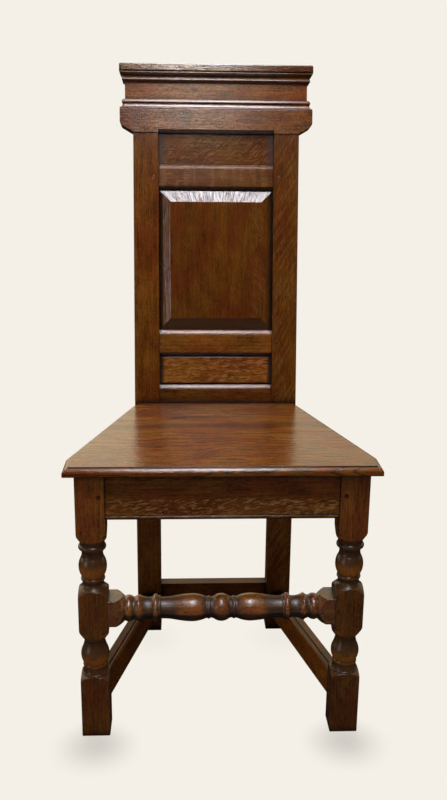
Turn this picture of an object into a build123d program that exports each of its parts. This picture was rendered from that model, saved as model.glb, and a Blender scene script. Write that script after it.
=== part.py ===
from build123d import *
from math import atan, cos, radians, sqrt, tan
import os

# Oak panel-back side chair, joined with pegged mortises and tenons.
# The model is drawn with x to the viewer's right, y from front to back and z up,
# with y = 0 on the front faces of the front legs. At the end it moves so that its
# origin lies on the floor under the middle of the whole chair. Sizes are millimetres.

# Overall sizes
seat_height = 456
front_width = 438
back_width = 290
frame_depth = 326
rake_angle = 9.3

# Front legs. The middle block is measured down and up from the front stretcher's axis.
leg_section = 44
leg_arris_radius = 1.3
foot_chamfer = 1.1
foot_block_top = 96.5
mid_block_below = 25
mid_block_above = 27
top_block_height = 96

# Outlines of the two turned stretches, from the lower block to the upper one.
# Each row has a share of the stretch's height and a share of the leg's half
# section. A row marked by is a point that an arc passes through.
lower_turning_shares = [
    ("by", 0.054, 1.227),
    ("to", 0.086, 0.985),
    ("to", 0.108, 0.965),
    ("to", 0.113, 0.920),
    ("by", 0.153, 0.862),
    ("to", 0.208, 0.822),
    ("by", 0.248, 0.872),
    ("to", 0.287, 0.818),
    ("by", 0.409, 0.994),
    ("to", 0.565, 0.885),
    ("by", 0.638, 0.780),
    ("to", 0.718, 0.718),
    ("by", 0.852, 1.095),
]
upper_turning_shares = [
    ("by", 0.064, 1.195),
    ("to", 0.104, 1.000),
    ("to", 0.109, 0.945),
    ("by", 0.134, 0.832),
    ("to", 0.165, 0.750),
    ("to", 0.211, 0.740),
    ("by", 0.244, 0.840),
    ("to", 0.276, 0.765),
    ("to", 0.286, 0.780),
    ("by", 0.429, 0.982),
    ("to", 0.585, 0.785),
    ("by", 0.637, 0.738),
    ("to", 0.689, 0.750),
    ("to", 0.699, 0.830),
    ("by", 0.738, 0.965),
    ("to", 0.779, 0.860),
    ("to", 0.819, 0.857),
    ("by", 0.910, 1.140),
]

# Back posts
post_width = 44
post_depth = 41
post_top_depth = 34.5
post_bend_radius = 80
post_arris_radius = 1.2

# Seat rails
seat_rail_height = 74
seat_rail_thickness = 22
seat_rail_setback = 3
rail_bead_height = 6.2
rail_quirk_width = 1.4
rail_quirk_depth = 1.6

# Seat board
seat_thickness = 14
seat_front_overhang = 17
seat_side_overhang = 15
seat_straight_side = 51
seat_rear_overhang = 2.5
seat_quirk_inset = 8
seat_quirk_depth = 1.8
seat_edge_radius = 7
seat_lower_round = 2

# Stretchers
front_stretcher_section = 43
front_stretcher_height = 213
front_stretcher_setback = 0.8
stretcher_block_length = 12
side_stretcher_height = 46
side_stretcher_floor_gap = 31
side_stretcher_thickness = 21
side_stretcher_inset = 9
stretcher_bead_width = 8
stretcher_bead_drop = 5
stretcher_bead_crown = 2.7
rear_stretcher_height = 46
rear_stretcher_floor_gap = 47.5
rear_rail_setback = 10

# Outline of the front stretcher, from its middle to the square end block, in
# shares of the turned half length and of the half section.
stretcher_middle_share = 0.99
front_stretcher_shares = [
    ("by", 0.044, 0.928),
    ("to", 0.077, 0.782),
    ("to", 0.101, 0.753),
    ("by", 0.118, 0.822),
    ("to", 0.136, 0.775),
    ("to", 0.146, 0.780),
    ("by", 0.205, 0.930),
    ("to", 0.288, 0.995),
    ("by", 0.368, 0.942),
    ("to", 0.442, 0.851),
    ("by", 0.497, 0.790),
    ("to", 0.560, 0.772),
    ("to", 0.577, 0.790),
    ("by", 0.589, 0.886),
    ("to", 0.600, 0.850),
    ("by", 0.625, 0.998),
    ("to", 0.649, 0.860),
    ("to", 0.655, 0.800),
    ("by", 0.710, 0.785),
    ("to", 0.779, 0.980),
    ("to", 0.788, 0.980),
    ("by", 0.808, 0.860),
    ("to", 0.836, 0.823),
    ("by", 0.879, 0.950),
    ("to", 0.914, 0.875),
    ("by", 0.960, 1.190),
]

# Frame and panels of the back, measured along the slope from the seat upwards
back_rail_thickness = 22
back_rail_setback = 1
back_rail_chamfer = 5.5
lower_rail_height = 34
lower_opening_height = 52
middle_rail_height = 46
centre_opening_height = 246
upper_rail_height = 44
upper_opening_height = 53
groove_depth = 9
panel_entry = 7
panel_tongue = 6
panel_tongue_front = 9
field_bevel_width = 21
field_front = 2
upper_panel_front = 8
lower_panel_front = 6
lower_panel_bevel = 8
lower_panel_soft_edge = 3

# Crest
crest_half_width = 168
crest_proud = 1.5
crest_rail_height = 39.7
crest_clip_rise = 14
crest_clip_run = 24
crest_corner_round = 9
base_moulding_height = 17.4
frieze_reveal = 27.6
cornice_height = 19
cap_thickness = 12.8
cap_overhang = 0.6
cap_arris_radius = 1.8
cap_corner_round = 3
moulding_projection = 9

# Outlines of the two mouldings on their front: a share of the moulding's height,
# then a share of its projection.
base_moulding_shares = [
    ("to", 0.000, 0.860),
    ("to", 0.050, 0.860),
    ("to", 0.050, 0.980),
    ("to", 0.140, 0.980),
    ("to", 0.150, 0.900),
    ("by", 0.300, 0.560),
    ("to", 0.510, 0.420),
    ("to", 0.560, 0.420),
    ("by", 0.750, 0.600),
    ("to", 0.940, 0.360),
]
cornice_shares = [
    ("to", 0.000, 0.080),
    ("by", 0.100, 0.140),
    ("to", 0.170, 0.340),
    ("by", 0.300, 0.560),
    ("to", 0.420, 0.400),
    ("to", 0.460, 0.400),
    ("by", 0.690, 0.560),
    ("to", 0.860, 0.940),
    ("to", 0.950, 0.940),
    ("to", 0.950, 0.780),
]

# Joints, pegs and glue blocks
joint_play = 0.15
tenon_thickness = 8
tenon_shoulder = 9
seat_tenon_length = 25
side_tenon_length = 20
rear_tenon_length = 22
stretcher_tenon_thickness = 10
stretcher_tenon_height = 28
low_tenon_length = 15
back_tenon_length = 25
post_tenon_width = 24
post_tenon_thickness = 12
post_tenon_height = 28
peg_radius = 3.2
peg_play = 0.1
peg_proud = 0.4
peg_edge_distance = 9
peg_reach = 27
crest_peg_rise = 8
glue_block_side = 20
glue_block_length = 50
cut_overrun = 2

# Sizes worked out from the ones above
leg_height = seat_height - seat_thickness
leg_half = leg_section / 2
leg_axis = front_width / 2 - leg_half
leg_inner = front_width / 2 - leg_section
mid_block_low = front_stretcher_height - mid_block_below
mid_block_high = front_stretcher_height + mid_block_above
top_block_low = leg_height - top_block_height
post_outer = back_width / 2
post_inner = post_outer - post_width
post_middle = post_outer - post_width / 2
rail_low = leg_height - seat_rail_height
rail_middle = leg_height - seat_rail_height / 2
lower_rail_top = lower_rail_height
middle_rail_low = lower_rail_top + lower_opening_height
middle_rail_top = middle_rail_low + middle_rail_height
upper_rail_low = middle_rail_top + centre_opening_height
upper_rail_top = upper_rail_low + upper_rail_height
post_rise = upper_rail_top + upper_opening_height
frieze_low = post_rise + crest_rail_height
cap_low = frieze_low + base_moulding_height + frieze_reveal + cornice_height
cap_top = cap_low + cap_thickness
frieze_half_width = crest_half_width - moulding_projection
frieze_front = moulding_projection - crest_proud
rear_rail_front = frame_depth + rear_rail_setback
rake = radians(rake_angle)
lean = Location((0, frame_depth, seat_height), (-rake_angle, 0, 0))


# Helpers
def block(x_low, x_high, y_low, y_high, z_low, z_high):
    """A box between two corners."""
    size = (x_high - x_low, y_high - y_low, z_high - z_low)
    return Pos(x_low, y_low, z_low) * Box(*size, align=Align.MIN)


def pocket(limits):
    """The mortise for a tenon with these limits, larger by the joint's play."""
    x_low, x_high, y_low, y_high, z_low, z_high = limits
    return block(
        x_low - joint_play,
        x_high + joint_play,
        y_low - joint_play,
        y_high + joint_play,
        z_low - joint_play,
        z_high + joint_play,
    )


def rod(start, direction, length, radius):
    """A round rod that starts at a point and runs in a direction."""
    return Solid.make_cylinder(radius, length, Plane(origin=start, z_dir=direction))


def outline(points):
    """Lines and arcs through stations; a by station lies in the middle of an arc."""
    edges = []
    here = None
    middle = None
    for kind, point in points:
        if kind == "by":
            middle = point
            continue
        if here is not None and middle is not None:
            edges.append(ThreePointArc(here, middle, point))
        elif here is not None:
            edges.append(Line(here, point))
        here = point
        middle = None
    return edges


def prism(points, direction, length):
    """A straight solid whose outline has straight sides."""
    return extrude(make_face(Polyline(*points, close=True)), amount=length, dir=direction)


def both_sides(solid):
    """A solid and its mirror image across the middle of the chair."""
    return [solid, mirror(solid, about=Plane.YZ)]


def pegs(rods):
    """The pegs of one group, and the slightly larger holes that take them."""
    solids = []
    holes = []
    for start, direction, length in rods:
        solids.append(rod(start, direction, length, peg_radius))
        holes.append(rod(start, direction, length, peg_radius + peg_play))
    return solids, holes


def cut(solid, tools):
    """A solid with a list of tools taken away."""
    for tool in tools:
        solid = solid - tool
    return solid


# Limits of the tenons on the right-hand side
def seat_rail_slope():
    """How far a side rail moves inwards for each unit that it runs back."""
    return (front_width - back_width) / 2 / (frame_depth - leg_section)


def oblique_width(thickness):
    """Width across x of a slanting rail of the given thickness."""
    return thickness * sqrt(1 + seat_rail_slope() ** 2)


def front_rail_tenon():
    middle = seat_rail_setback + seat_rail_thickness / 2
    return (
        leg_inner,
        leg_inner + seat_tenon_length,
        middle - tenon_thickness / 2,
        middle + tenon_thickness / 2,
        rail_low + tenon_shoulder,
        leg_height - tenon_shoulder,
    )


def side_rail_middle(outer_face):
    """Middle of a side seat rail across x, at a post or leg with this outer face."""
    return outer_face - seat_rail_setback - oblique_width(seat_rail_thickness) / 2


def side_rail_tenons():
    at_leg = side_rail_middle(front_width / 2)
    at_post = side_rail_middle(post_outer)
    heights = (rail_low + tenon_shoulder, leg_height - tenon_shoulder)
    half = tenon_thickness / 2
    into_leg = (at_leg - half, at_leg + half, leg_section - side_tenon_length, leg_section)
    into_post = (at_post - half, at_post + half, frame_depth, frame_depth + side_tenon_length)
    return into_leg + heights, into_post + heights


def side_stretcher_middle(inner_face):
    return inner_face + side_stretcher_inset + oblique_width(side_stretcher_thickness) / 2


def side_stretcher_tenons():
    at_leg = side_stretcher_middle(leg_inner)
    at_post = side_stretcher_middle(post_inner)
    low = side_stretcher_floor_gap + tenon_shoulder
    high = side_stretcher_floor_gap + side_stretcher_height - tenon_shoulder
    half = tenon_thickness / 2
    into_leg = (at_leg - half, at_leg + half, leg_section - low_tenon_length, leg_section)
    into_post = (at_post - half, at_post + half, frame_depth, frame_depth + low_tenon_length)
    return into_leg + (low, high), into_post + (low, high)


def rear_tenon(low, height):
    """Tenon of a rear rail or stretcher, from its lower edge and its height."""
    middle = rear_rail_front + seat_rail_thickness / 2
    return (
        post_inner,
        post_inner + rear_tenon_length,
        middle - tenon_thickness / 2,
        middle + tenon_thickness / 2,
        low + tenon_shoulder,
        low + height - tenon_shoulder,
    )


def front_stretcher_tenon():
    middle = front_stretcher_setback + front_stretcher_section / 2
    return (
        leg_inner,
        leg_inner + seat_tenon_length,
        middle - stretcher_tenon_thickness / 2,
        middle + stretcher_tenon_thickness / 2,
        front_stretcher_height - stretcher_tenon_height / 2,
        front_stretcher_height + stretcher_tenon_height / 2,
    )


def back_rail_tenon(low, high):
    """Tenon of a back rail in the frame of the back."""
    middle = back_rail_setback + back_rail_thickness / 2
    return (
        post_inner,
        post_inner + back_tenon_length,
        middle - tenon_thickness / 2,
        middle + tenon_thickness / 2,
        low + tenon_shoulder,
        high - tenon_shoulder,
    )


def post_tenon():
    """Tenon on top of the right post in the frame of the back."""
    return (
        post_middle - post_tenon_width / 2,
        post_middle + post_tenon_width / 2,
        post_top_depth / 2 - post_tenon_thickness / 2,
        post_top_depth / 2 + post_tenon_thickness / 2,
        post_rise,
        post_rise + post_tenon_height,
    )


back_rail_limits = [
    (0, lower_rail_top),
    (middle_rail_low, middle_rail_top),
    (upper_rail_low, upper_rail_top),
]


# Pegs and their holes on the right-hand side
def front_face_pegs(height):
    """Peg through the front face of the leg at a height."""
    start = (leg_inner + peg_edge_distance, -peg_proud, height)
    return pegs([(start, (0, 1, 0), peg_reach + peg_proud)])


def side_pegs(height, leg_tenon, post_tenon_limits):
    """Pegs through the outer faces of the leg and the post at a height."""
    at_leg = (leg_tenon[2] + leg_tenon[3]) / 2
    at_post = (post_tenon_limits[2] + post_tenon_limits[3]) / 2
    starts = [
        (front_width / 2 + peg_proud, at_leg, height),
        (post_outer + peg_proud, at_post, height),
    ]
    return pegs([(start, (-1, 0, 0), peg_reach + peg_proud) for start in starts])


def rear_pegs():
    """Pegs through the back face of the post for the rear rail and stretcher."""
    heights = [rail_middle, rear_stretcher_floor_gap + rear_stretcher_height / 2]
    x = post_inner + peg_edge_distance
    start_y = frame_depth + post_depth + peg_proud
    return pegs([((x, start_y, z), (0, -1, 0), peg_reach + peg_proud) for z in heights])


def back_pegs():
    """Pegs through the front face of the post, one for each back rail."""
    x = post_inner + peg_edge_distance
    rods = []
    for low, high in back_rail_limits:
        rods.append(((x, -peg_proud, (low + high) / 2), (0, 1, 0), peg_reach + peg_proud))
    return pegs(rods)


def crest_pegs():
    """Peg through the crest rail and the tenon of the post."""
    start = (post_middle, -crest_proud - peg_proud, post_rise + crest_peg_rise)
    return pegs([(start, (0, 1, 0), peg_reach + peg_proud)])


seat_rail_peg, seat_rail_hole = front_face_pegs(rail_middle)
stretcher_peg, stretcher_hole = front_face_pegs(front_stretcher_height)
side_rail_peg, side_rail_holes = side_pegs(rail_middle, *side_rail_tenons())
low_middle = side_stretcher_floor_gap + side_stretcher_height / 2
low_peg, low_holes = side_pegs(low_middle, *side_stretcher_tenons())
rear_peg, rear_holes = rear_pegs()
back_peg, back_holes = back_pegs()
crest_peg, crest_holes = crest_pegs()


# Front legs
def turned_stations(low, high, half, shares):
    """Stations of a turned stretch between two square blocks."""
    stations = [("to", (half * sqrt(2), 0, low))]
    for kind, height_share, radius_share in shares:
        stations.append((kind, (half * radius_share, 0, low + (high - low) * height_share)))
    stations.append(("to", (half * sqrt(2), 0, high)))
    return stations


def front_leg():
    """A square leg, with the corners and two stretches turned away in the lathe."""
    plan = RectangleRounded(leg_section, leg_section, leg_arris_radius)
    stock = extrude(plan, amount=leg_height)
    stock = chamfer(stock.faces().sort_by(Axis.Z)[0].edges(), foot_chamfer)
    corner = leg_half * sqrt(2)
    stations = [("to", (0, 0, 0)), ("to", (corner, 0, 0))]
    stations += turned_stations(foot_block_top, mid_block_low, leg_half, lower_turning_shares)
    stations += turned_stations(mid_block_high, top_block_low, leg_half, upper_turning_shares)
    stations += [("to", (corner, 0, leg_height)), ("to", (0, 0, leg_height)), ("to", (0, 0, 0))]
    turning = revolve(make_face(outline(stations)), axis=Axis.Z)
    leg = Pos(leg_axis, leg_half, 0) * (stock & turning)
    into_leg = [front_rail_tenon(), side_rail_tenons()[0], side_stretcher_tenons()[0]]
    into_leg.append(front_stretcher_tenon())
    leg = cut(leg, [pocket(limits) for limits in into_leg])
    return cut(leg, seat_rail_hole + stretcher_hole + side_rail_holes[:1] + low_holes[:1])


# Back posts
def back_post():
    """One post from the floor to the crest, upright below the seat and raked above."""
    bend_low = post_depth * tan(rake / 2)
    top_front = lean * Pos(0, 0, post_rise)
    top_back = lean * Pos(0, post_top_depth, post_rise)
    back_face = frame_depth + post_depth
    points = [
        (post_inner, frame_depth, 0),
        (post_inner, frame_depth, seat_height),
        (post_inner, top_front.position.Y, top_front.position.Z),
        (post_inner, top_back.position.Y, top_back.position.Z),
        (post_inner, back_face, seat_height - bend_low),
        (post_inner, back_face, 0),
    ]
    post = prism(points, (1, 0, 0), post_width)
    bends = [edge for edge in post.edges().filter_by(Axis.X) if is_bend(edge)]
    post = fillet(bends, post_bend_radius)
    arrises = [edge for edge in post.edges() if is_outer_arris(edge)]
    post = fillet(arrises, post_arris_radius)
    post = post + lean * block(*post_tenon())
    groove = (
        post_inner - cut_overrun,
        post_inner + groove_depth,
        panel_tongue_front - joint_play,
        panel_tongue_front + panel_tongue + joint_play,
        -cut_overrun,
        post_rise + cut_overrun,
    )
    in_back = [block(*groove)]
    in_back += [pocket(back_rail_tenon(low, high)) for low, high in back_rail_limits]
    in_back += back_holes + crest_holes
    post = cut(post, [lean * tool for tool in in_back])
    below = [side_rail_tenons()[1], side_stretcher_tenons()[1]]
    below.append(rear_tenon(rail_low, seat_rail_height))
    below.append(rear_tenon(rear_stretcher_floor_gap, rear_stretcher_height))
    post = cut(post, [pocket(limits) for limits in below])
    return cut(post, side_rail_holes[1:] + low_holes[1:] + rear_holes)


def is_bend(edge):
    """Whether an edge across the post lies at the bend near the seat."""
    return abs(edge.center().Z - seat_height) < post_depth


def is_outer_arris(edge):
    """Whether an edge runs up the outer face of the post."""
    on_outer_face = abs(edge.center().X - post_outer) < post_arris_radius
    ends = edge.position_at(0), edge.position_at(1)
    return on_outer_face and abs(ends[1].Z - ends[0].Z) > abs(ends[1].Y - ends[0].Y)


# Seat rails
def front_seat_rail():
    """The front rail, with a bead and quirk along its lower edge."""
    front = seat_rail_setback
    back = front + seat_rail_thickness
    bead_top = rail_low + rail_bead_height
    quirk_top = bead_top + rail_quirk_width
    inside = front + rail_quirk_depth
    stations = [
        ("to", (-leg_inner, front, leg_height)),
        ("to", (-leg_inner, front, quirk_top)),
        ("to", (-leg_inner, inside, quirk_top)),
        ("to", (-leg_inner, inside, bead_top)),
        ("by", (-leg_inner, front, rail_low + rail_bead_height / 2)),
        ("to", (-leg_inner, inside, rail_low)),
        ("to", (-leg_inner, back, rail_low)),
        ("to", (-leg_inner, back, leg_height)),
        ("to", (-leg_inner, front, leg_height)),
    ]
    rail = extrude(make_face(outline(stations)), amount=2 * leg_inner, dir=(1, 0, 0))
    for tenon in both_sides(block(*front_rail_tenon())):
        rail = rail + tenon
    for hole in seat_rail_hole:
        rail = cut(rail, both_sides(hole))
    return rail


def slanting_rail(section_points, tenons, holes):
    """A side rail from the back of the leg to the front of the post."""
    run = frame_depth - leg_section
    direction = Vector(-seat_rail_slope(), 1, 0).normalized()
    length = run * sqrt(1 + seat_rail_slope() ** 2)
    rail = extrude(make_face(outline(section_points)), amount=length, dir=direction)
    for limits in tenons:
        rail = rail + block(*limits)
    return cut(rail, holes)


def side_seat_rail():
    outer = front_width / 2 - seat_rail_setback
    inner = outer - oblique_width(seat_rail_thickness)
    stations = [
        ("to", (outer, leg_section, rail_low)),
        ("to", (outer, leg_section, leg_height)),
        ("to", (inner, leg_section, leg_height)),
        ("to", (inner, leg_section, rail_low)),
        ("to", (outer, leg_section, rail_low)),
    ]
    return slanting_rail(stations, side_rail_tenons(), side_rail_holes)


def rear_rail(low, height, hole):
    """A plain rail between the back posts."""
    back = rear_rail_front + seat_rail_thickness
    rail = block(-post_inner, post_inner, rear_rail_front, back, low, low + height)
    for tenon in both_sides(block(*rear_tenon(low, height))):
        rail = rail + tenon
    return cut(rail, both_sides(hole))


# Stretchers
def front_stretcher():
    """The turned stretcher, with square blocks at both ends."""
    half = front_stretcher_section / 2
    turned_half = leg_inner - stretcher_block_length
    corner = half * sqrt(2)
    right = [("to", (half * stretcher_middle_share, 0, 0))]
    for kind, length_share, radius_share in front_stretcher_shares:
        right.append((kind, (half * radius_share, 0, turned_half * length_share)))
    right.append(("to", (corner, 0, turned_half)))
    right.append(("to", (corner, 0, leg_inner)))
    right.append(("to", (0, 0, leg_inner)))
    right.append(("to", (0, 0, 0)))
    right.append(("to", (half * stretcher_middle_share, 0, 0)))
    half_turning = revolve(make_face(outline(right)), axis=Axis.Z)
    plan = RectangleRounded(front_stretcher_section, front_stretcher_section, leg_arris_radius)
    half_bar = extrude(plan, amount=leg_inner) & half_turning
    bar = half_bar + mirror(half_bar, about=Plane.XY)
    middle = front_stretcher_setback + half
    bar = Pos(0, middle, front_stretcher_height) * Rot(0, 90, 0) * bar
    for tenon in both_sides(block(*front_stretcher_tenon())):
        bar = bar + tenon
    for hole in stretcher_hole:
        bar = cut(bar, both_sides(hole))
    return bar


def side_stretcher():
    """A low rail with a bead on its upper inner arris."""
    inner = leg_inner + side_stretcher_inset
    outer = inner + oblique_width(side_stretcher_thickness)
    low = side_stretcher_floor_gap
    high = low + side_stretcher_height
    bead = inner + stretcher_bead_width
    quirk = bead + rail_quirk_width
    sunk = high - rail_quirk_depth
    stations = [
        ("to", (outer, leg_section, low)),
        ("to", (outer, leg_section, high)),
        ("to", (quirk, leg_section, high)),
        ("to", (quirk, leg_section, sunk)),
        ("to", (bead, leg_section, sunk)),
        ("by", (inner + stretcher_bead_crown, leg_section, high - rail_quirk_depth / 2)),
        ("to", (inner, leg_section, high - stretcher_bead_drop)),
        ("to", (inner, leg_section, low)),
        ("to", (outer, leg_section, low)),
    ]
    return slanting_rail(stations, side_stretcher_tenons(), low_holes)


# Seat board
def seat_plan(inset):
    """Right half of the seat's outline, drawn in from its front and its sides."""
    half_front = front_width / 2 + seat_side_overhang
    half_rear = post_outer + seat_rear_overhang
    bend = seat_straight_side - seat_front_overhang
    turn = atan((half_front - half_rear) / (frame_depth - bend))
    return [
        (half_front - inset, inset - seat_front_overhang),
        (half_front - inset, bend - inset * tan(turn / 2)),
        (half_rear - inset / cos(turn), frame_depth),
    ]


def seat_layer(inset, low, high):
    """One layer of the seat, with a tongue that runs back between the posts."""
    tongue = post_inner - joint_play
    right = seat_plan(inset)
    right += [(tongue, frame_depth), (tongue, rear_rail_front + seat_rail_thickness)]
    plan = right + [(-x, y) for x, y in reversed(right)]
    return prism([(x, y, low) for x, y in plan], (0, 0, 1), high - low)


def seat_board():
    """The seat, with a thumbnail moulding along its front and its sides."""
    shoulder = seat_height - seat_quirk_depth
    board = seat_layer(0, leg_height, shoulder)
    faces = board.faces().sort_by(Axis.Z)
    upper_edges = [edge for edge in faces[-1].edges() if is_free_edge(edge)]
    board = fillet(upper_edges, seat_edge_radius)
    faces = board.faces().sort_by(Axis.Z)
    lower_edges = [edge for edge in faces[0].edges() if is_free_edge(edge)]
    board = fillet(lower_edges, seat_lower_round)
    return board + seat_layer(seat_quirk_inset, shoulder, seat_height)


def is_free_edge(edge):
    """Whether an edge of the seat lies on its front or on one of its sides."""
    return edge.center().Y < frame_depth - seat_thickness


# Back rails and panels, drawn upright in the frame of the back
def back_rail(low, high, hole, seated):
    """A rail of the back with chamfered arrises, grooved for the panels."""
    front = back_rail_setback
    back = front + back_rail_thickness
    bevel = back_rail_chamfer
    x = -post_inner
    if seated:
        play = joint_play / cos(rake)
        bottom = [(x, back, play + back * tan(rake)), (x, front, play + front * tan(rake))]
    else:
        bottom = [(x, back, low), (x, front + bevel, low), (x, front, low + bevel)]
    points = bottom + [(x, front, high - bevel), (x, front + bevel, high), (x, back, high)]
    rail = prism(points, (1, 0, 0), 2 * post_inner)
    rail = rail - panel_groove(high - groove_depth, high + cut_overrun)
    if not seated:
        rail = rail - panel_groove(low - cut_overrun, low + groove_depth)
    for tenon in both_sides(block(*back_rail_tenon(low, high))):
        rail = rail + tenon
    return lean * cut(rail, both_sides(hole))


def panel_groove(low, high):
    """The slot that holds the edge of a panel, across the whole back."""
    front = panel_tongue_front - joint_play
    back = panel_tongue_front + panel_tongue + joint_play
    reach = post_inner + groove_depth
    return block(-reach, reach, front, back, low, high)


def panel(low, high, front, bevel_x, bevel_z):
    """A panel with thin edges in the grooves and a field that stands forward."""
    reach = post_inner + panel_entry
    tongue_back = panel_tongue_front + panel_tongue
    sheet = block(
        -reach, reach, panel_tongue_front, tongue_back, low - panel_entry, high + panel_entry
    )
    inner = post_inner - joint_play
    base = field_outline(inner, low + joint_play, high - joint_play, panel_tongue_front)
    field = field_outline(post_inner - bevel_x, low + bevel_z, high - bevel_z, front)
    return lean * (sheet + loft([base, field], ruled=True))


def field_outline(half, low, high, depth):
    """A rectangle in the plane of the back at a depth behind the posts' faces."""
    corners = [(-half, depth, low), (half, depth, low), (half, depth, high), (-half, depth, high)]
    return make_face(Polyline(*corners, close=True))


def upper_panel():
    return panel(upper_rail_top, post_rise, upper_panel_front, joint_play, joint_play)


def centre_panel():
    bevel = field_bevel_width
    return panel(middle_rail_top, upper_rail_low, field_front, bevel, bevel)


def lower_panel():
    bevels = (lower_panel_bevel, lower_panel_soft_edge)
    return panel(lower_rail_top, middle_rail_low, lower_panel_front, *bevels)


# Crest, drawn upright in the frame of the back
def crest_rail():
    """The board over the posts, with clipped corners and a chamfer between the posts."""
    half = crest_half_width
    front = -crest_proud
    top = post_rise + crest_rail_height
    right = [
        (half, front, top),
        (half, front, post_rise + crest_clip_rise),
        (half - crest_clip_run, front, post_rise),
    ]
    points = right + [(-x, y, z) for x, y, z in reversed(right)]
    board = prism(points, (0, 1, 0), crest_proud + post_top_depth)
    corners = [edge for edge in board.edges().filter_by(Axis.Y) if is_clip_corner(edge)]
    board = fillet(corners, crest_corner_round)
    bevel = back_rail_chamfer
    x = -post_inner
    wedge = [
        (x, front - cut_overrun, post_rise - cut_overrun),
        (x, front - cut_overrun, post_rise + bevel + cut_overrun),
        (x, front + bevel + cut_overrun, post_rise - cut_overrun),
    ]
    board = board - prism(wedge, (1, 0, 0), 2 * post_inner)
    board = board - panel_groove(post_rise - cut_overrun, post_rise + groove_depth)
    board = cut(board, both_sides(pocket(post_tenon())))
    for hole in crest_holes:
        board = cut(board, both_sides(hole))
    return lean * board


def is_clip_corner(edge):
    """Whether an edge is the upper corner of the clipped end of the crest."""
    low = abs(edge.center().Z - (post_rise + crest_clip_rise)) < crest_clip_rise / 2
    return low and abs(edge.center().X) > frieze_half_width


def frieze_board():
    """The plain band behind the mouldings."""
    half = frieze_half_width
    return lean * block(-half, half, frieze_front, post_top_depth, frieze_low, cap_low)


def cap_board():
    """The flat top of the crest, with worn upper corners."""
    half = crest_half_width + cap_overhang
    front = -crest_proud - cap_overhang
    board = block(-half, half, front, post_top_depth, cap_low, cap_top)
    corners = board.faces().sort_by(Axis.Z)[-1].edges().filter_by(Axis.Y)
    board = fillet(corners, cap_corner_round)
    front_edges = board.faces().sort_by(Axis.Y)[0].edges()
    return lean * fillet(front_edges, cap_arris_radius)


def moulding_set(low, height, shares):
    """A front moulding and its two returns, mitred at the corners of the frieze."""
    flat = [("to", 0, 0)]
    for kind, height_share, projection_share in shares:
        flat.append((kind, height * height_share, moulding_projection * projection_share))
    flat += [("to", height, flat[-1][2]), ("to", height, 0), ("to", 0, 0)]
    half = crest_half_width + cut_overrun
    along_x = [(kind, (-half, frieze_front - out, low + up)) for kind, up, out in flat]
    front = extrude(make_face(outline(along_x)), amount=2 * half, dir=(1, 0, 0))
    start = frieze_front - moulding_projection - cut_overrun
    along_y = [(kind, (frieze_half_width + out, start, low + up)) for kind, up, out in flat]
    side = extrude(make_face(outline(along_y)), amount=post_top_depth - start, dir=(0, 1, 0))
    corner = (frieze_half_width, frieze_front, low)
    mitre = Plane(origin=corner, z_dir=(1, 1, 0))
    other = Plane(origin=(-corner[0], corner[1], low), z_dir=(-1, 1, 0))
    front = split(split(front, mitre, keep=Keep.BOTTOM), other, keep=Keep.BOTTOM)
    side = split(side, mitre, keep=Keep.TOP)
    return lean * front, lean * mirror(side, about=Plane.YZ), lean * side


# Blocks glued in the angle of the seat and its rails
def seat_glue_blocks():
    """Five square blocks under the seat board."""
    low = leg_height - glue_block_side
    front = seat_rail_setback + seat_rail_thickness
    reach = leg_inner / 2
    size = (glue_block_length, glue_block_side, glue_block_side)
    blocks = []
    for x in (-reach, reach):
        middle = (x, front + glue_block_side / 2, low + glue_block_side / 2)
        blocks.append(Pos(*middle) * Box(*size))
    rear_y = rear_rail_front - glue_block_side / 2
    blocks.append(Pos(0, rear_y, low + glue_block_side / 2) * Box(*size))
    at_leg = side_rail_middle(front_width / 2) - oblique_width(seat_rail_thickness) / 2
    run = (frame_depth - leg_section) / 2
    inner = (at_leg - seat_rail_slope() * run, leg_section + run, low)
    along = Vector(-seat_rail_slope(), 1, 0).normalized()
    face = Plane(origin=inner, x_dir=along, z_dir=(0, 0, 1))
    side = face * Pos(0, glue_block_side / 2, glue_block_side / 2) * Box(*size)
    return blocks + both_sides(side)


# All nodes, each as one solid or a list of identical solids
low_rail, middle_rail, high_rail = back_rail_limits
leaning = [lean * peg for peg in back_peg]
leaning_crest = [lean * peg for peg in crest_peg]
right_leg, left_leg = both_sides(front_leg())
right_post, left_post = both_sides(back_post())
right_seat_rail, left_seat_rail = both_sides(side_seat_rail())
right_stretcher, left_stretcher = both_sides(side_stretcher())
base_set = moulding_set(frieze_low, base_moulding_height, base_moulding_shares)
cornice_low = cap_low - cornice_height
cornice_set = moulding_set(cornice_low, cornice_height, cornice_shares)

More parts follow.
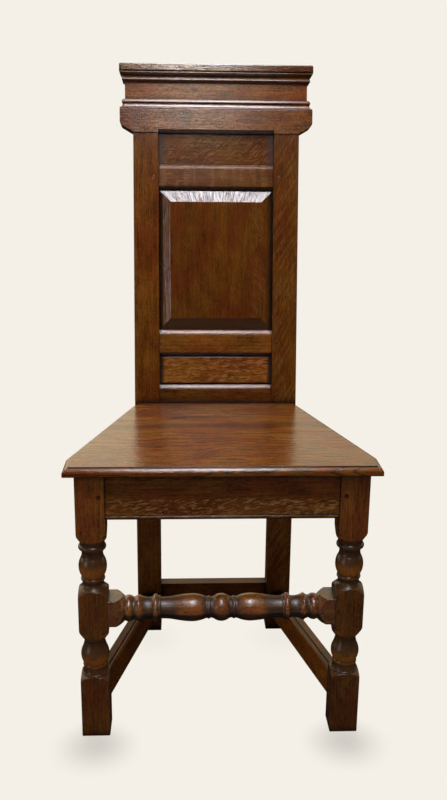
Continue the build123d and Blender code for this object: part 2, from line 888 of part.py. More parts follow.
nodes = {
    "left_front_leg": [left_leg],
    "right_front_leg": [right_leg],
    "left_back_post": [left_post],
    "right_back_post": [right_post],
    "front_seat_rail": [front_seat_rail()],
    "left_side_seat_rail": [left_seat_rail],
    "right_side_seat_rail": [right_seat_rail],
    "rear_seat_rail": [rear_rail(rail_low, seat_rail_height, rear_holes[0])],
    "seat_board": [seat_board()],
    "front_stretcher": [front_stretcher()],
    "left_side_stretcher": [left_stretcher],
    "right_side_stretcher": [right_stretcher],
    "rear_stretcher": [rear_rail(rear_stretcher_floor_gap, rear_stretcher_height, rear_holes[1])],
    "lower_back_rail": [back_rail(*low_rail, back_holes[0], True)],
    "middle_back_rail": [back_rail(*middle_rail, back_holes[1], False)],
    "upper_back_rail": [back_rail(*high_rail, back_holes[2], False)],
    "lower_panel": [lower_panel()],
    "centre_panel": [centre_panel()],
    "upper_panel": [upper_panel()],
    "crest_rail": [crest_rail()],
    "frieze_board": [frieze_board()],
    "cap_board": [cap_board()],
    "base_moulding": [base_set[0]],
    "left_base_return": [base_set[1]],
    "right_base_return": [base_set[2]],
    "cornice_moulding": [cornice_set[0]],
    "left_cornice_return": [cornice_set[1]],
    "right_cornice_return": [cornice_set[2]],
    "seat_rail_pegs": both_sides(seat_rail_peg[0]),
    "front_stretcher_pegs": both_sides(stretcher_peg[0]),
    "side_rail_pegs": both_sides(side_rail_peg[0]) + both_sides(side_rail_peg[1]),
    "side_stretcher_pegs": both_sides(low_peg[0]) + both_sides(low_peg[1]),
    "rear_rail_pegs": both_sides(rear_peg[0]) + both_sides(rear_peg[1]),
    "back_rail_pegs": [solid for peg in leaning for solid in both_sides(peg)],
    "crest_pegs": [solid for peg in leaning_crest for solid in both_sides(peg)],
    "seat_glue_blocks": seat_glue_blocks(),
}

# The origin moves to the floor under the middle of the whole chair
rear_most = lean * Pos(0, post_top_depth, cap_top)
middle_y = (rear_most.position.Y - seat_front_overhang) / 2
os.makedirs("parts", exist_ok=True)
for name, solids in nodes.items():
    placed = [Pos(0, -middle_y, 0) * solid for solid in solids]
    shape = placed[0] if len(placed) == 1 else Compound(children=placed)
    export_step(shape, f"parts/{name}.step")
print(len(nodes), "nodes,", sum(len(solids) for solids in nodes.values()), "solids")
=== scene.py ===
# %% [markdown]
# # A joined oak chair with a panelled back
#
# The chair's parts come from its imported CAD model: turned legs, raked posts, rails,
# panels and a crest of mitred mouldings. Their shapes are right, so this lesson gives
# them what a solid model lacks: the figure of oak, wax, grime, and studio light.
# Everything is in metres, with x to the viewer's right, y to the back and z up.

import bpy
import numpy as np
from mathutils import Matrix, Vector


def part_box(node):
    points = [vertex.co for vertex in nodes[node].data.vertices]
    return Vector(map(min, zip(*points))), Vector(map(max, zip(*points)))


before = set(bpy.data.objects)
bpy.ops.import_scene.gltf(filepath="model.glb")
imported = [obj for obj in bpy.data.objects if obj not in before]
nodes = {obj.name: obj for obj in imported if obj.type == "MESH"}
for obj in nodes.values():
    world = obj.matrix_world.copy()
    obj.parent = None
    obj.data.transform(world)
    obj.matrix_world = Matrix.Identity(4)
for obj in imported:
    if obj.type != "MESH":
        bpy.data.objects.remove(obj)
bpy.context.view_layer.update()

# %% [markdown]
# ## Where the camera stands
#
# A photograph fixes the camera: lines that are parallel on the chair meet at points
# that depend on its height, its tilt and its lens. One could guess and nudge, but
# fitting the corners of the seat, the feet and the crest gives its place, its lens
# and its three turns at once. The turns then become the axes of its matrix.

# %% Camera
focal_pixels = 916.76
picture_height = 800
camera_place = Vector((-0.0611, -1.48295, 0.90945))
turn, tilt, roll = np.radians([2.71, 15.70, -0.66])

forward = Vector((np.sin(turn) * np.cos(tilt), np.cos(turn) * np.cos(tilt), -np.sin(tilt)))
right = Vector((np.cos(turn), -np.sin(turn), 0))
down = forward.cross(right)
picture_x = right * np.cos(roll) + down * np.sin(roll)
picture_y = down * np.cos(roll) - right * np.sin(roll)

camera_data = bpy.data.cameras.new("camera")
camera_data.sensor_fit = "VERTICAL"
camera_data.sensor_height = 24
camera_data.lens = camera_data.sensor_height * focal_pixels / picture_height
camera = bpy.data.objects.new("camera", camera_data)
bpy.context.scene.collection.objects.link(camera)
axes = Matrix((picture_x, -picture_y, -forward)).transposed()
camera.matrix_world = Matrix.Translation(camera_place) @ axes.to_4x4()
bpy.context.scene.camera = camera
print("lens", round(camera_data.lens, 2), "mm on a", camera_data.sensor_height, "mm sensor")

# %% [markdown]
# ## Shader maths that reads like maths
#
# A wood material is mostly arithmetic: distances, waves, thresholds and mixtures.
# Wiring a node for each plus sign by hand hides the idea. A small class that wraps a
# socket and answers to + - * / and ** adds those nodes itself, so that a formula in
# the code is the formula in the material.


# %% A socket that answers to arithmetic
class Wire:
    """One output socket of a node tree; arithmetic on it adds Math nodes."""

    def __init__(self, tree, socket=None):
        self.tree = tree
        self.socket = socket

    def node(self, kind, settings, inputs, output=0):
        """Adds a node, sets its settings first, and then fills or links its inputs."""
        made = self.tree.nodes.new(kind)
        for name, value in settings.items():
            setattr(made, name, value)
        for name, value in inputs.items():
            if isinstance(value, Wire):
                self.tree.links.new(value.socket, made.inputs[name])
            else:
                made.inputs[name].default_value = value
        return Wire(self.tree, made.outputs[output] if made.outputs else None)

    def maths(self, operation, *others, clamp=False):
        """One Math node on this value and, where it needs them, others."""
        settings = {"operation": operation, "use_clamp": clamp}
        return self.node("ShaderNodeMath", settings, dict(enumerate([self, *others])))

    def __add__(self, other):
        return self.maths("ADD", other)

    def __sub__(self, other):
        return self.maths("SUBTRACT", other)

    def __rsub__(self, other):
        return self.maths("MULTIPLY_ADD", -1, other)

    def __mul__(self, other):
        return self.maths("MULTIPLY", other)

    def __truediv__(self, other):
        return self.maths("DIVIDE", other)

    def __pow__(self, other):
        return self.maths("POWER", other)

    __radd__ = __add__
    __rmul__ = __mul__

    def greater(self, other):
        """The greater of two values."""
        return self.maths("MAXIMUM", other)

    def size(self):
        """The value without its sign."""
        return self.maths("ABSOLUTE")

    def step(self, low, high):
        """A smooth step: 0 below low, 1 above high, and the other way if low > high."""
        settings = {"interpolation_type": "SMOOTHSTEP"}
        if low < high:
            limits = {"From Min": low, "From Max": high, "To Min": 0, "To Max": 1}
        else:
            limits = {"From Min": high, "From Max": low, "To Min": 1, "To Max": 0}
        return self.node("ShaderNodeMapRange", settings, {"Value": self, **limits})

    def dot(self, direction):
        """How far this vector reaches in a direction."""
        inputs = {0: self, 1: tuple(direction)}
        return self.node("ShaderNodeVectorMath", {"operation": "DOT_PRODUCT"}, inputs, 1)

    def vector(self, x, y, z):
        """Three numbers as one vector."""
        return self.node("ShaderNodeCombineXYZ", {}, {"X": x, "Y": y, "Z": z})

    def noise(self, vector, detail=2.0, roughness=0.5):
        """Soft noise from 0 to 1, with one swell for each unit of the vector."""
        inputs = {"Vector": vector, "Scale": 1, "Detail": detail, "Roughness": roughness}
        return self.node("ShaderNodeTexNoise", {}, inputs)

    def blend(self, amount, low, high):
        """A colour between two colours."""
        inputs = {0: amount, 6: low, 7: high}
        return self.node("ShaderNodeMix", {"data_type": "RGBA"}, inputs, 2)


print("Wire adds nodes for", "+ - * / **")

# %% [markdown]
# ## Oak as a tree grows it
#
# Oak's figure comes from two things. Each year adds a ring whose first half is full
# of open pores, and flat ribbons, the rays, run out from the heart. A board sawn
# across the rings shows lines and arches; one sawn along a radius shows the rays as
# pale flecks across the grain. An image of wood would repeat on every part and
# stretch on the turnings. Here each board is cut from its own log instead: the
# material works out how far a point lies from that log's heart, so a turned ball
# and a flat rail both show the rings that they really cut.


# %% Figure of the wood
plain_fineness = 330


def figure(place, grain, across, through, middle, board):
    """The masks of one board, each from 0 to 1, and the length from its middle.

    u, v and w are metres along the grain, across the board's face and through its
    thickness. The distance from the heart, divided by the width of a ring, counts
    the rings; its fraction is 0 where a year begins. The rays show where the face
    runs along a radius, which is where v is nearly the whole of that distance. They
    lie at an angle to the grain, in a band of the face. Where the grain fans out
    past an edge, v is divided by 1 + spread x (length - edge), and w hardly counts.
    In a noise, the number beside u, v or w is its swells in a metre.
    """
    length_place = place.dot(grain) - middle.dot(grain)
    u = length_place + board["seed"]
    v = place.dot(across) - middle.dot(across)
    w = place.dot(through) - middle.dot(through)
    if board["fan"]:
        edge, spread = board["fan"]
        v = v / ((length_place - edge).greater(0) * spread + 1)
        w = w * 0.1
    heart_v, heart_w = board["heart"]
    wander = place.noise(place.vector(u * 5, v * 14, w * 14), 3) - 0.5
    from_heart_v = v - heart_v + wander * board["wander"]
    from_heart_w = w - heart_w
    distance = (from_heart_v ** 2 + from_heart_w ** 2) ** 0.5
    year = (distance / board["ring"]).maths("FRACT")
    early = year.step(0.42, 0.0)

    fine = board["fineness"]
    lines = place.noise(place.vector(u * 13, v * fine, w * fine), 2, 0.6)
    dashes = place.noise(place.vector(u * 95, v * 520, w * 520), 2, 0.7)
    streaks = lines * 0.5 + dashes * 0.5
    ridges = lines if board["fan"] else streaks
    pores = place.noise(place.vector(u * 90, v * 1500, w * 1500), 1).step(0.56, 0.68)
    pores = pores * (early * 0.7 + 0.3)
    clouds = place.noise(place.vector(u * 22, v * 48, w * 48), 3, 0.6)
    specks = place.noise(place.vector(u * 260, v * 430, w * 430), 1)
    reddish = place.noise(place.vector(u * 11, v * 26 + 7, w * 26), 2, 0.6).step(0.35, 0.65)

    tip = np.radians(board["ray_tilt"])
    bend = place.noise(place.vector(u * 45, v * 45, w * 45), 1) * 0.010
    along = u * np.cos(tip) + v * np.sin(tip) + bend
    over = v * np.cos(tip) - u * np.sin(tip) + bend
    length, height = board["ray_size"]
    rays = place.noise(place.vector(along / length, over / height, w * 60), 2, 0.55)
    radial = (from_heart_v.size() / distance).step(0.9, 0.995)
    band_middle, band_half = board["ray_band"]
    in_band = (v - band_middle).size().step(band_half, band_half * 0.6)
    rays = rays.step(0.5, 0.62) * dashes.step(0.30, 0.55) * radial * in_band * board["rays"]
    return {"length_place": length_place, "early": early, "streaks": streaks,
            "ridges": ridges, "pores": pores, "clouds": clouds, "specks": specks,
            "reddish": reddish, "rays": rays}


print("one swell of fine lines each", round(1000 / plain_fineness, 1), "mm on a plain board")

# %% [markdown]
# ## What a board may differ in
#
# One recipe has to serve a speckled crest, a streaky post and a dark stretcher. A
# material for each would repeat itself many times over. A table of plain values,
# from which each board changes only its own few, keeps the recipe in one place.

# %% A plain board
plain_board = {
    # Where the heart lies from the board's middle, across its face and through it.
    "heart": (0.03, 0.05),
    # The width of a year's ring, how much darker its first half is, and how far the
    # rings stray. The seed is the board's own stretch of the noise.
    "ring": 0.0034, "rings": 0.15, "wander": 0.02, "seed": 0.0,
    # Rays: strength, degrees from the grain, length and width, and the middle and
    # half width of the band of the face that shows them.
    "rays": 1.0, "ray_tilt": 25, "ray_size": (0.022, 0.0026), "ray_band": (0.0, 1.0),
    # Fine lines in a metre across, and the edge and spread of a grain that fans out.
    "fineness": plain_fineness, "fan": None,
    # Colour: brightness, contrast and the strength of the specks.
    "tone": 1.0, "contrast": 1.0, "specks": 0.8,
    # Polish: its strength and its roughness.
    "gloss": 0.5, "haze": 0.17,
    # Relief of the lines, the specks and the broad swells, in millimetres, and the
    # radius to which edges are worn.
    "relief": 0.25, "sparkle": 0.0, "ripples": 0.0, "worn": 0.0015,
    # Turned stock: its axis and half section, how far short of that a neck begins
    # and is full, and the heights of the swells that are rubbed clean.
    "turned": None, "necks": (0.0015, 0.006), "swells": (),
    # Darkening towards the floor, a veil all over, and the distances from the middle at
    # which the painted sheen on the ends begins and is full. Bent: the height above which it
    # leans.
    "feet": 0.0, "veil": 0.0, "ends": None, "bent": None}
print(len(plain_board), "values describe a board")

# %% [markdown]
# ## Wax and painted shade over the wood
#
# Old oak is dark because centuries of wax sit in it, most of all where a cloth can't
# reach: in the necks and on the shoulders of the turnings. In coves, beside mouldings
# and on surfaces that face down, the colour is darkened as painted shade, and the ends
# of some panels carry a painted sheen. The blocks and flat faces are rubbed back to a
# warm brown and shine. Ambient occlusion finds the corners for the painted shade, and
# the distance from a turning's axis finds its necks. The polish is the shader's own
# gloss, one strength for each board, and rougher over pores, wax and painted shade.
# Edges that hands have worn are rounded in the shading alone, by the Bevel node, and a
# Bump node adds the relief of lines and specks.


# %% Where a turning is dirty
X, Y, Z = Vector((1, 0, 0)), Vector((0, 1, 0)), Vector((0, 0, 1))
# Metres below the block's face at which a cut begins and is certain, then the same
# for a radius; where a swell ends and is full, in metres from its height; and the
# radii, in half sections, at which a shoulder begins and is full.
face_cut = (0.0002, 0.0012)
ball_cut = (0.00001, 0.00005)
swell_reach = (0.017, 0.002)
shoulder_reach = (0.98, 1.06)


def turned_grime(place, facing, board):
    """Where the lathe has cut, and where old wax lies there, both from 0 to 1.

    The stock is square, so on a block's face the greater of the two distances from
    the axis is the half section. Where it is less, the lathe has cut, and also where
    the radius is less, at the front of a ball that all but fills the stock. The
    necks are where the radius falls well short of that half section. A leg is dirty
    all over its turned stretches, except on the swells that shoes and hands rub and
    on the shoulders that face down.
    """
    first, second, half = board["turned"]
    a = (place.dot(first[0]) - first[1]).size()
    b = (place.dot(second[0]) - second[1]).size()
    radius = (a ** 2 + b ** 2) ** 0.5
    cut = a.greater(b).step(half - face_cut[0], half - face_cut[1])
    cut = cut.greater(radius.step(half - ball_cut[0], half - ball_cut[1]))
    neck = (radius - half).size().step(*board["necks"])
    if board["swells"]:
        swell = 0
        for height in board["swells"]:
            swell = swell + (place.dot(Z) - height).size().step(*swell_reach)
        shoulder = radius.step(half * shoulder_reach[0], half * shoulder_reach[1])
        shoulder = shoulder * facing.dot(Z).step(0.0, -0.2)
        neck = neck.greater((1 - swell) * (1 - shoulder))
    return cut, cut * neck


print("a plain neck is full of wax", plain_board["necks"][1] * 1000, "mm below the block")

# %% Waxed oak
deep = Vector((0.058, 0.0185, 0.0030))
golden = Vector((0.305, 0.106, 0.0120))
red_brown = Vector((0.262, 0.060, 0.0095))
pale = Vector((0.420, 0.200, 0.0600))
# The dark colour of the painted shade in corners and under things, and of the darkening
# towards the floor.
darkening = (0.0060, 0.0038, 0.0028, 1)
dull_wax = (0.0150, 0.0120, 0.0080, 1)
# A lilac-grey painted sheen, laid over the ends of some panels and a rail.
painted_sheen = (0.0850, 0.0620, 0.0560, 1)
# How far the painted shade reaches out of a corner, and how strong it is in corners and on
# surfaces that face down.
corner_reach = 0.018
corner_shade, underside_shade = 0.95, 0.8
neck_wax, end_sheen = 0.68, 0.75
rubbed_bare, ray_paleness = 0.35, 0.55
rough_pores, rough_shade_and_wax = 0.10, 0.12
pore_depth = 0.05
rake = np.radians(9.3)


def straightened(place, bend_height):
    """The place before the post was bent: y - (z - bend height) x tan(rake)."""
    back = (place.dot(Z) - bend_height).greater(0) * np.tan(rake)
    inputs = {0: place, 1: place.vector(0, back, 0)}
    return place.node("ShaderNodeVectorMath", {"operation": "SUBTRACT"}, inputs)


def oak_colour(wood, place, board):
    """Dark to bright by the mottle, bright from golden to red-brown, and pale rays.

    light = 0.56 + contrast x mottle - 0.2 pores - rings x (early wood - 0.3), where
    mottle = 1.2 clouds + 2.4 streaks + strength x specks, each less its middle 0.5.
    """
    shades = [(*(colour * board["tone"]), 1) for colour in (deep, golden, red_brown, pale)]
    mottle = (wood["clouds"] - 0.5) * 1.2 + (wood["streaks"] - 0.5) * 2.4
    mottle = mottle + (wood["specks"] - 0.5) * board["specks"]
    light = 0.56 + mottle * board["contrast"] - wood["pores"] * 0.2
    light = light.maths("SUBTRACT", (wood["early"] - 0.3) * board["rings"], clamp=True)
    bright = place.blend(wood["reddish"], shades[1], shades[2])
    colour = place.blend(light, shades[0], bright)
    return place.blend(wood["rays"] * ray_paleness, colour, shades[3])


def waxed_oak(name, grain, across, through, middle, board):
    """One board's material: its figure, then wax and painted shade, relief and polish.

    Old wax goes on first and the painted shade over it, so that the deepest grooves stay
    darkest.
    The relief is in millimetres and feeds the Bump node, whose distance is 1 mm.
    """
    material = bpy.data.materials.new(name)
    material.use_nodes = True
    material.node_tree.nodes.clear()
    place = Wire(material.node_tree).node("ShaderNodeTexCoord", {}, {}, "Object")
    if board["bent"]:
        place = straightened(place, board["bent"])
    wood = figure(place, grain, across, through, middle, board)
    colour = oak_colour(wood, place, board)

    # Painted shade: ambient occlusion darkens the colour in corners and recesses.
    open_share = place.node("ShaderNodeAmbientOcclusion", {"samples": 6},
                            {"Distance": corner_reach}, "AO")
    corner = open_share.step(0.95, 0.55) * corner_shade
    facing = place.node("ShaderNodeNewGeometry", {}, {}, "Normal")
    # Painted shade: surfaces that face down are darkened.
    under = facing.dot(Z).step(-0.02, -0.20) * underside_shade
    # The colour grows darker towards the floor.
    low = place.dot(Z).step(0.42, 0.20) * board["feet"]
    shade_and_wax = corner
    if board["turned"]:
        cut, neck = turned_grime(place, facing, board)
        low = low * (1 - cut)
        if board["swells"]:
            # On a leg, the darkening towards the floor takes the place of the painted shade
            # under things.
            under = low
            bare = (*(golden * board["tone"]), 1)
            colour = place.blend(cut * rubbed_bare, colour, bare)
        colour = place.blend(neck * neck_wax, colour, dull_wax)
        shade_and_wax = corner.greater(neck)
    # Painted shade in corners and under things, and the darkening towards the floor, in one
    # dark colour.
    colour = place.blend(corner.greater(under.greater(low)), colour, darkening)
    if board["veil"]:
        colour = place.blend(board["veil"], colour, dull_wax)
    # The ends of some boards get a painted sheen.
    if board["ends"]:
        end = wood["length_place"].size().step(*board["ends"])
        colour = place.blend(end * end_sheen, colour, painted_sheen)

    dull = board["haze"] + wood["pores"] * rough_pores + shade_and_wax * rough_shade_and_wax
    relief = wood["ridges"] * board["relief"] - wood["pores"] * pore_depth
    relief = relief + wood["specks"] * board["sparkle"] + wood["clouds"] * board["ripples"]
    worn = place.node("ShaderNodeBevel", {"samples": 4}, {"Radius": board["worn"]})
    bump = place.node("ShaderNodeBump", {}, {
        "Strength": 1.0, "Distance": 0.001, "Height": relief, "Normal": worn})
    shader = place.node("ShaderNodeBsdfPrincipled", {}, {
        "Base Color": colour, "Roughness": dull, "Normal": bump,
        "Specular IOR Level": board["gloss"]})
    place.node("ShaderNodeOutputMaterial", {}, {"Surface": shader})
    return material


print("grime reaches", corner_reach * 1000, "mm out of a corner")

# %% [markdown]
# ## Which way each board's grain runs
#
# A joiner cuts every piece with the grain along its length, because oak splits
# across a short grain. So the posts' and legs' grain stands, the rails' lies level,
# and the side rails' follows their slant. One direction for the whole chair would be
# quicker and would show end grain on the face of a rail. Each board gets three
# directions: along its grain, across its face and through its thickness.


# %% Directions
post_depth = 0.041
stretcher_half = 0.0215
# A leg's rubbed swells lie this far above and below the front stretcher's middle.
upper_swell, lower_swell = 0.066, 0.084
bevel_width = 0.024


def board(**changes):
    """A plain board with some of its values changed."""
    return {**plain_board, **changes}


def middle_of(name):
    """The middle of a part's box."""
    low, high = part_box(name)
    return (low + high) / 2


def post_middle(name):
    """The middle of a back post's straight lower part, which starts at its front face."""
    middle = middle_of(name)
    middle.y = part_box(name)[0].y + post_depth / 2
    return middle


def slant_of(side):
    """The level direction from a front leg to the post behind it."""
    way = post_middle(side + "_back_post") - middle_of(side + "_front_leg")
    way.z = 0
    return way.normalized()


def leg_stock(name):
    """The axis of a leg and the half section of its square stock."""
    low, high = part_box(name)
    return (X, (low.x + high.x) / 2), (Y, (low.y + high.y) / 2), (high.x - low.x) / 2


slope_up = Vector((0, np.sin(rake), np.cos(rake)))
slope_in = Vector((0, np.cos(rake), -np.sin(rake)))
upright, level, flat = (Z, X, Y), (X, Z, Y), (X, Y, Z)
leaning, lying = (slope_up, X, slope_in), (X, slope_up, slope_in)
running_back, driven_in = (Y, X, Z), (slope_in, X, slope_up)
left_slant, right_slant = (slant_of("left"), Z, X), (slant_of("right"), Z, X)

seat_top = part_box("seat_board")[1].z
stretcher_middle = middle_of("front_stretcher")
stretcher_stock = ((Y, stretcher_middle.y), (Z, stretcher_middle.z), stretcher_half)
leg_swells = (stretcher_middle.z + upper_swell, stretcher_middle.z - lower_swell)
panel_low, panel_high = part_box("centre_panel")
bevel_edge = (panel_high.z - panel_low.z) / 2 - bevel_width
print("side rails slant by", [round(way[0].x, 3) for way in (left_slant, right_slant)])

# %% [markdown]
# ## A board for every part
#
# A joiner picks boards: straight ones for posts and legs, one with bold flecks for
# the panels that show. Each part here gets a log of its own, with the heart beside
# the board (flecks on its face), under it (arches) or off a corner (plain lines).
# The values that differ are the ones that the eye finds: flecks low on the front
# rail, a speckled crest, slanting rays on the right post, a dark, glossy stretcher.

# %% Boards
leg = {"necks": (0.003, 0.008), "gloss": 0.55, "swells": leg_swells}
moulding = {"tone": 0.95, "gloss": 0.7, "haze": 0.14, "sparkle": 0.15}

boards = {
    "left_front_leg": (upright, board(
        **leg, turned=leg_stock("left_front_leg"), heart=(0.05, 0.06), seed=1.3,
        feet=0.5)),
    "right_front_leg": (upright, board(
        **leg, turned=leg_stock("right_front_leg"), heart=(-0.05, 0.05), seed=4.1,
        feet=0.55, tone=0.9)),
    "left_back_post": (upright, board(
        heart=(0.06, 0.02), seed=7.7, bent=seat_top, tone=0.80, worn=0.003, contrast=0.9,
        gloss=0.3, relief=0.4, ray_tilt=-8, ray_size=(0.022, 0.0030), rays=0.8)),
    "right_back_post": (upright, board(
        heart=(-0.10, 0.005), seed=2.9, bent=seat_top, tone=0.66, worn=0.003,
        contrast=0.8, gloss=0.22, relief=0.4, ray_tilt=30, ray_size=(0.060, 0.0050),
        rays=0.7)),
    "front_seat_rail": (level, board(
        heart=(0.2, -0.011), seed=3.3, tone=0.72, ray_tilt=10,
        ray_size=(0.012, 0.0022), rays=2.4, ray_band=(-0.019, 0.018))),
    "left_side_seat_rail": (left_slant, board(seed=9.1)),
    "right_side_seat_rail": (right_slant, board(seed=8.2)),
    "rear_seat_rail": (level, board(seed=6.4)),
    "seat_board": (flat, board(
        heart=(0.02, -0.15), wander=0.07, seed=5.5, haze=0.18, tone=0.64, relief=0.5,
        ring=0.006, rings=0.8, contrast=0.85, sparkle=0.16, ripples=0.5)),
    "front_stretcher": (level, board(
        heart=(0.03, 0.06), seed=0.7, haze=0.28, tone=1.2, gloss=1.0,
        necks=(0.0012, 0.004), specks=2.4, sparkle=0.2, feet=0.4,
        turned=stretcher_stock)),
    "left_side_stretcher": (left_slant, board(seed=10.2, gloss=0.06, veil=0.3)),
    "right_side_stretcher": (right_slant, board(seed=11.6, tone=1.9, gloss=0.2, veil=0.4)),
    "rear_stretcher": (level, board(seed=12.8, tone=1.3, gloss=0.10, veil=0.45)),
    "lower_back_rail": (lying, board(
        heart=(0.05, 0.03), seed=13.5, tone=0.68, relief=0.35, worn=0.006)),
    "middle_back_rail": (lying, board(
        heart=(0.07, 0.01), seed=14.9, relief=0.35, worn=0.006, ray_tilt=35, rays=0.4)),
    "upper_back_rail": (lying, board(
        heart=(0.3, 0.005), seed=15.1, ray_tilt=88, tone=0.68, ray_size=(0.080, 0.0110),
        rays=0.6, gloss=0.25, relief=0.35, worn=0.006, ends=(0.085, 0.13))),
    "lower_panel": (lying, board(
        heart=(0.3, 0.0), seed=16.3, ray_tilt=8, tone=1.30, ray_size=(0.016, 0.0028),
        gloss=0.6, relief=0.4, sparkle=0.15, ends=(0.09, 0.12))),
    "centre_panel": (leaning, board(
        heart=(0.16, 0.02), wander=0.03, seed=17.7, tone=0.70, contrast=0.75,
        ray_tilt=-40, rays=0.5, ray_band=(0.11, 0.06), gloss=1.0, relief=0.65,
        fineness=430, haze=0.10, worn=0.0008, fan=(bevel_edge, 8))),
    "upper_panel": (lying, board(
        heart=(0.3, 0.0), seed=18.4, ray_tilt=38, rays=1.1, tone=0.70, gloss=0.14,
        ray_size=(0.020, 0.0026), ends=(0.080, 0.105))),
    "crest_rail": (lying, board(
        heart=(0.06, 0.04), seed=19.9, tone=0.88, specks=2.2, gloss=0.56, haze=0.18,
        contrast=1.2, relief=0.42, sparkle=0.12)),
    "frieze_board": (lying, board(
        heart=(0.05, 0.03), seed=20.6, tone=1.12, specks=1.4, gloss=0.34, relief=0.35,
        sparkle=0.1)),
    "cap_board": (lying, board(
        heart=(0.03, 0.05), seed=21.2, tone=0.56, specks=2.0, gloss=0.92, haze=0.11,
        relief=0.38, sparkle=0.1)),
    "base_moulding": (lying, board(**moulding, seed=22.5)),
    "cornice_moulding": (lying, board(**moulding, seed=23.8)),
    "left_base_return": (running_back, board(seed=24.1)),
    "right_base_return": (running_back, board(seed=25.4)),
    "left_cornice_return": (running_back, board(seed=26.6)),
    "right_cornice_return": (running_back, board(seed=27.3)),
    "seat_rail_pegs": (running_back, board(seed=28.5, tone=0.3)),
    "front_stretcher_pegs": (running_back, board(seed=29.7, tone=0.45)),
    "side_rail_pegs": (flat, board(seed=30.9, tone=0.6)),
    "side_stretcher_pegs": (flat, board(seed=31.4, tone=0.6)),
    "rear_rail_pegs": (running_back, board(seed=32.6, tone=0.6)),
    "back_rail_pegs": (driven_in, board(seed=33.8, tone=0.7)),
    "crest_pegs": (driven_in, board(seed=34.2, tone=0.7)),
    "seat_glue_blocks": (level, board(seed=35.3, tone=0.8, gloss=0.1)),
}

for name, (directions, facts) in boards.items():
    middle = post_middle(name) if facts["bent"] else middle_of(name)
    material = waxed_oak("oak_of_" + name, *directions, middle, facts)
    for slot in nodes[name].material_slots:
        slot.link = "OBJECT"
        slot.material = material
print(len(boards), "boards for", len(nodes), "parts")

# %% [markdown]
# ## A pale floor
#
# The chair stands on pale paper. If the paper were lit to white, its light would
# flood the chair. So the paper shows its colour to the camera by itself, and only in
# a soft patch before each foot does it answer to the lamps and keep their shadow.
# There it is also darker than the paper, so the patch is partly a painted shadow. To
# light that falls back on the chair it is plain lit paper, and its mirror image in
# the polish is dark, as the room's real floor was.

# %% Floor
paper = (0.905, 0.871, 0.799, 1)
black = (0, 0, 0, 1)
# Darker than the paper: in the patches before the feet it paints a shadow, over the lamps'
# own.
lit_paper = (0.66, 0.63, 0.57, 1)
shadow_share = 0.58
back_feet_share = 0.12
bounce_share, glint_share, mirror_share = 0.85, 0.015, 0.006
patch_reach = 0.08
patch_ahead = 0.028
floor_half, floor_drop = 4, 0.0004

corners = [(x * floor_half, y * floor_half, -floor_drop)
           for x, y in ((-1, -1), (1, -1), (1, 1), (-1, 1))]
floor_mesh = bpy.data.meshes.new("floor")
floor_mesh.from_pydata(corners, [], [(0, 1, 2, 3)])
floor = bpy.data.objects.new("floor", floor_mesh)
bpy.context.scene.collection.objects.link(floor)


def patch(place, name):
    """A soft round patch before a pair of feet: 1 at its middle, 0 at its reach."""
    low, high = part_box(name)
    beside = place.dot(X).size() - (low.x + high.x) / 2
    before = place.dot(Y) - (low.y - patch_ahead)
    return ((beside ** 2 + before ** 2) ** 0.5).step(patch_reach, 0.0)


def rays_of(start, *kinds):
    """1 for rays of each kind and 0 for others, from the Light Path node."""
    return [start.node("ShaderNodeLightPath", {}, {}, "Is " + kind + " Ray") for kind in kinds]


floor_material = bpy.data.materials.new("paper")
floor_material.use_nodes = True
floor_material.node_tree.nodes.clear()
start = Wire(floor_material.node_tree)
place = start.node("ShaderNodeTexCoord", {}, {}, "Object")
# The painted shadow: patches before the feet, where the darker lit paper shows.
shadow_patch = patch(place, "right_front_leg") + patch(place, "right_back_post") * back_feet_share
camera_ray, glossy_ray, clear_ray, diffuse_ray = rays_of(
    start, "Camera", "Glossy", "Transmission", "Diffuse")
answer = camera_ray + diffuse_ray * bounce_share + glint_share
lit = start.node("ShaderNodeBsdfDiffuse", {}, {"Color": place.blend(answer, black, lit_paper)})
own = start.node("ShaderNodeEmission", {}, {"Color": paper, "Strength": 1.0})
share = camera_ray * (1 - shadow_patch * shadow_share) + (glossy_ray + clear_ray) * mirror_share
mixture = start.node("ShaderNodeMixShader", {}, {0: share, 1: lit, 2: own})
start.node("ShaderNodeOutputMaterial", {}, {"Surface": mixture})
floor_mesh.materials.append(floor_material)
print("before the feet", shadow_share, "of the paper answers to the lamps")

# %% [markdown]
# ## A pale room behind, a dark one in front
#
# The seat mirrors what stands behind the chair: a cream wall, brighter to the left.
# The back's panels mirror what stands in front, and they are dark, so the room there
# was dark too, with a faint glow from the left side. A picture of a room could do
# this, but a few smooth steps on the direction of a ray do it with far less. Light on
# dull surfaces comes from a milder room than the mirror image, and the camera sees
# plain paper all round.

# %% Room
wall = (0.95, 0.86, 0.60, 1)
wall_left, wall_right = 1.736, 0.808
side_wall = 0.07
dark_front = 0.010
mild_front, mild_behind = 0.07, 0.206

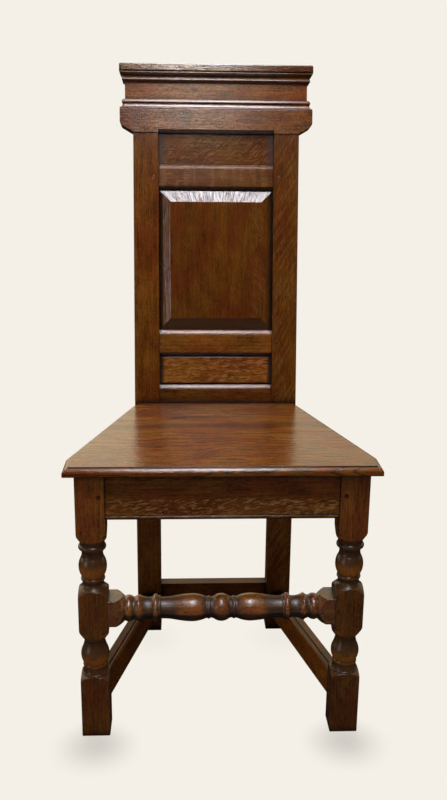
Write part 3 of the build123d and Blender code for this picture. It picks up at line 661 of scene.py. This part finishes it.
world = bpy.data.worlds.new("room")
bpy.context.scene.world = world
world.use_nodes = True
world.node_tree.nodes.clear()
start = Wire(world.node_tree)
way = start.node("ShaderNodeTexCoord", {}, {}, "Generated")
camera_ray, diffuse_ray = rays_of(start, "Camera", "Diffuse")
behind = way.dot(Y).step(-0.15, 0.45) * way.dot(Z).step(-0.06, 0.06)
behind = behind * (wall_left - way.dot(X).step(-0.3, 0.3) * (wall_left - wall_right))
left = way.dot(X).step(-0.25, -0.75) * way.dot(Z).step(-0.1, 0.1)
mirrored = dark_front + behind.greater(left * side_wall)
mild = mild_front + behind * mild_behind
room_light = mirrored + diffuse_ray * (mild - mirrored)
strength = room_light + camera_ray * (1 - room_light)
colour = start.blend(camera_ray, wall, paper)
backdrop = start.node("ShaderNodeBackground", {}, {"Color": colour, "Strength": strength})
start.node("ShaderNodeOutputWorld", {}, {"Surface": backdrop})
print("the wall behind shines from", wall_left, "at the left to", wall_right)

# %% [markdown]
# ## Three lamps
#
# The highlights say where the light was. The panel's upper bevel and the chamfers
# that face straight up all shine, and so does a narrow spot on every ball of the
# stretcher: a long, narrow strip hung overhead, from above the chair to far in front
# of it. The crest leans back and shines only in its middle, from a small lamp lower
# down. A tall lamp at the left gives the legs' balls their streak of light. The last
# two add only glints, because the strip alone already lights the wood as it should.
# A lamp's strength is the brightness of its surface, where 1 is white.


# %% Lamps
def lamp(name, azimuth, elevation, distance, size, brightness, aim=(0, 0, 0.6),
         colour=(0.93, 0.93, 1.0), only_glints=True):
    """An area lamp that looks at its aim; power = pi x area x brightness."""
    around, rise = np.radians([azimuth, elevation])
    way = Vector((np.sin(around) * np.cos(rise), -np.cos(around) * np.cos(rise), np.sin(rise)))
    data = bpy.data.lights.new(name, "AREA")
    data.shape = "RECTANGLE"
    data.size, data.size_y = size
    data.energy = float(np.pi * size[0] * size[1] * brightness)
    data.color = colour
    made = bpy.data.objects.new(name, data)
    bpy.context.scene.collection.objects.link(made)
    made.location = Vector(aim) + way * distance
    made.rotation_euler = (-way).to_track_quat("-Z", "Y").to_euler()
    made.visible_camera = False
    made.visible_diffuse = not only_glints
    print(name, "power", round(data.energy, 1), "W")


lamp("overhead_strip", 0, 90, 2.4, (0.60, 2.75), 18.5, aim=(0.05, -0.64, 0.6),
     only_glints=False)
lamp("crest_lamp", 0, 32, 2.85, (0.28, 0.35), 24.0, colour=(1.0, 0.93, 0.84))
lamp("left_lamp", -55, 2, 3.5, (0.40, 1.6), 4.6)

# %% [markdown]
# ## The last step
#
# The view transform is set to Standard, so that a colour comes out as it was
# written.

# %% Finish
bpy.context.scene.view_settings.view_transform = "Standard"
